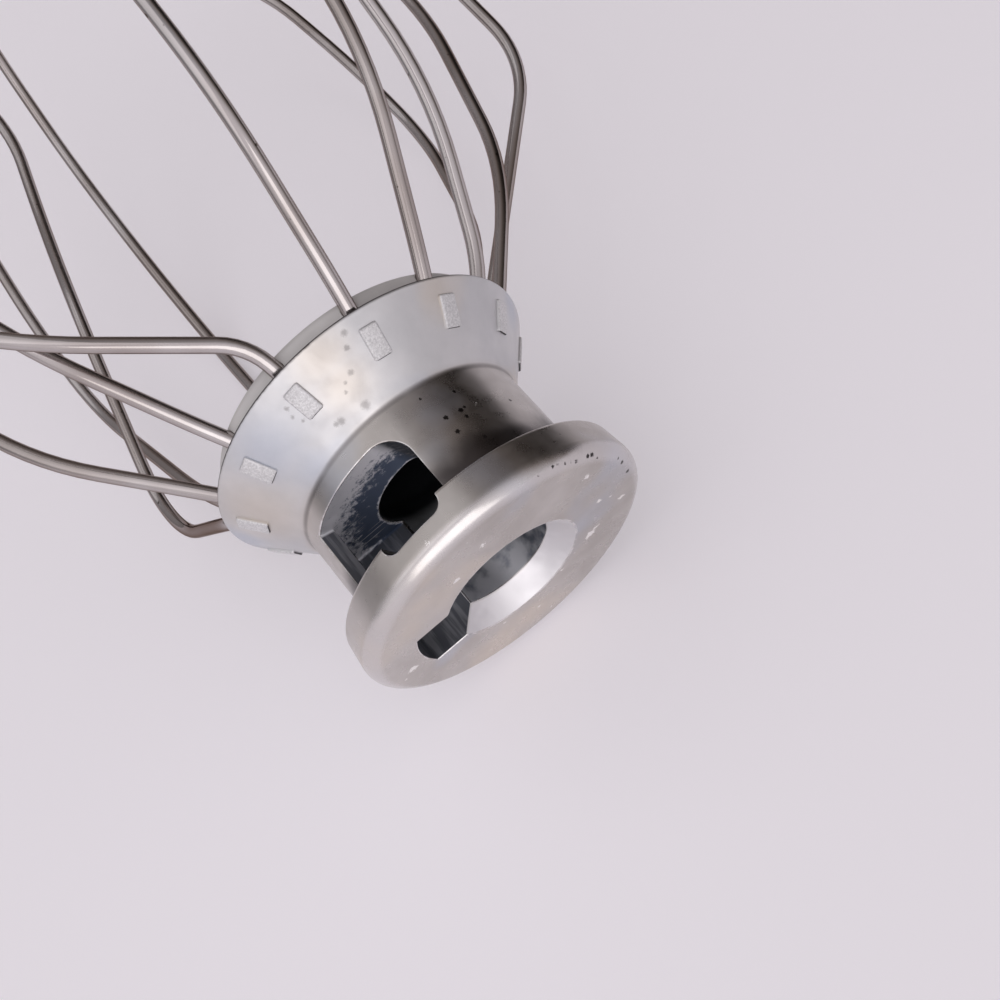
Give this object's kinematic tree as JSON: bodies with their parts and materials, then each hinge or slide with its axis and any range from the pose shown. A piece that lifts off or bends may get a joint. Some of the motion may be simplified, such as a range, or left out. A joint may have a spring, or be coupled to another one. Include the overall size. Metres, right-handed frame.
{
  "type": "stand mixer wire whisk",
  "caption": "Balloon wire whisk for a stand mixer: bent steel wire loops held in a cast flanged hub whose bore, slot and notch lock on the drive shaft's cross pin.",
  "frame": {"origin": "on the shaft bore's axis, level with the back of the flange, where the shaft's cross pin locks", "axes": "+Z along the bore out of its mouth, +X towards the slot that the cross pin enters by; the wire cage hangs along -Z"},
  "size_m": [0.0957, 0.0893, 0.1668],
  "materials": {
    "cast_hub": "satin burnished",
    "cast_plug": "satin",
    "wire": "polished"
  },
  "bodies": {
    "root": {"hub": "cast_hub", "plug": "cast_plug", "wire_loop_1": "wire", "wire_loop_2": "wire", "wire_loop_3": "wire", "wire_loop_4": "wire", "wire_loop_5": "wire", "wire_loop_6": "wire"}
  },
  "joints": []
}
